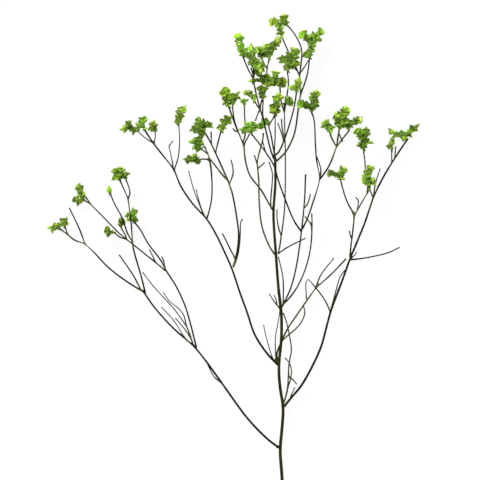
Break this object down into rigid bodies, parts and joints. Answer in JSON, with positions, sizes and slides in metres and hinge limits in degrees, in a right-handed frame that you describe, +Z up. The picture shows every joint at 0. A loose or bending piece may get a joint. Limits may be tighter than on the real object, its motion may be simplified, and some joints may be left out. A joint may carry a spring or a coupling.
{
  "type": "dried statice stem",
  "caption": "Dried, dyed statice lying flat: a forked olive and brown stem whose thin branches end in loose heads of small papery green flowers.",
  "frame": {"origin": "middle of the plant's footprint, on the surface that it lies on", "axes": "+Y along the main stem, from its cut end to the crown; +Z up off the surface; +X towards the right bough"},
  "size_m": [0.56, 0.7282, 0.0926],
  "materials": {
    "olive_stem": "matte",
    "dark_stem": "matte",
    "tan_stem": "matte",
    "green_calyx": "matte"
  },
  "bodies": {
    "root": {"main_stem": "olive_stem", "low_left_bough": "dark_stem", "low_left_outer_branch": "dark_stem", "low_left_head_1": "green_calyx", "low_left_upright_branch": "dark_stem", "low_left_head_2": "green_calyx", "low_left_bud": "green_calyx", "low_left_inner_branch": "dark_stem", "low_left_head_3": "green_calyx", "low_left_middle_branch": "dark_stem", "low_left_head_4": "green_calyx", "low_left_head_5": "green_calyx", "low_left_head_6": "green_calyx", "mid_left_bough": "dark_stem", "mid_left_head_1": "green_calyx", "mid_left_head_2": "green_calyx", "mid_left_head_3": "green_calyx", "mid_left_inner_branch": "olive_stem", "mid_left_head_4": "green_calyx", "mid_left_upright_branch": "dark_stem", "mid_left_head_5": "green_calyx", "mid_left_head_6": "green_calyx", "crossing_branch": "tan_stem", "right_bough": "dark_stem", "right_head_1": "green_calyx", "right_base_twig": "tan_stem", "right_bare_twig": "dark_stem", "right_inner_branch": "olive_stem", "right_head_2": "green_calyx", "right_head_3": "green_calyx", "right_head_4": "green_calyx", "centre_right_bough": "olive_stem", "crown_crossing_branch": "dark_stem", "crown_head_12": "green_calyx", "right_crown_branch": "dark_stem", "right_crown_head_1": "green_calyx", "right_crown_outer_branch": "dark_stem", "right_crown_head_2": "green_calyx", "right_crown_head_3": "green_calyx", "centre_left_bough": "olive_stem", "centre_left_head_1": "green_calyx", "centre_left_head_2": "green_calyx", "centre_left_upright_branch": "tan_stem", "climbing_branch": "tan_stem", "crown_left_branch": "dark_stem", "crown_centre_branch": "olive_stem", "crown_right_branch": "olive_stem", "crown_head_1": "green_calyx", "crown_head_2": "green_calyx", "crown_head_3": "green_calyx", "crown_head_4": "green_calyx", "crown_head_5": "green_calyx", "crown_head_6": "green_calyx", "crown_head_7": "green_calyx", "crown_head_8": "green_calyx", "crown_head_9": "green_calyx", "crown_head_10": "green_calyx", "crown_head_11": "green_calyx"}
  },
  "joints": []
}
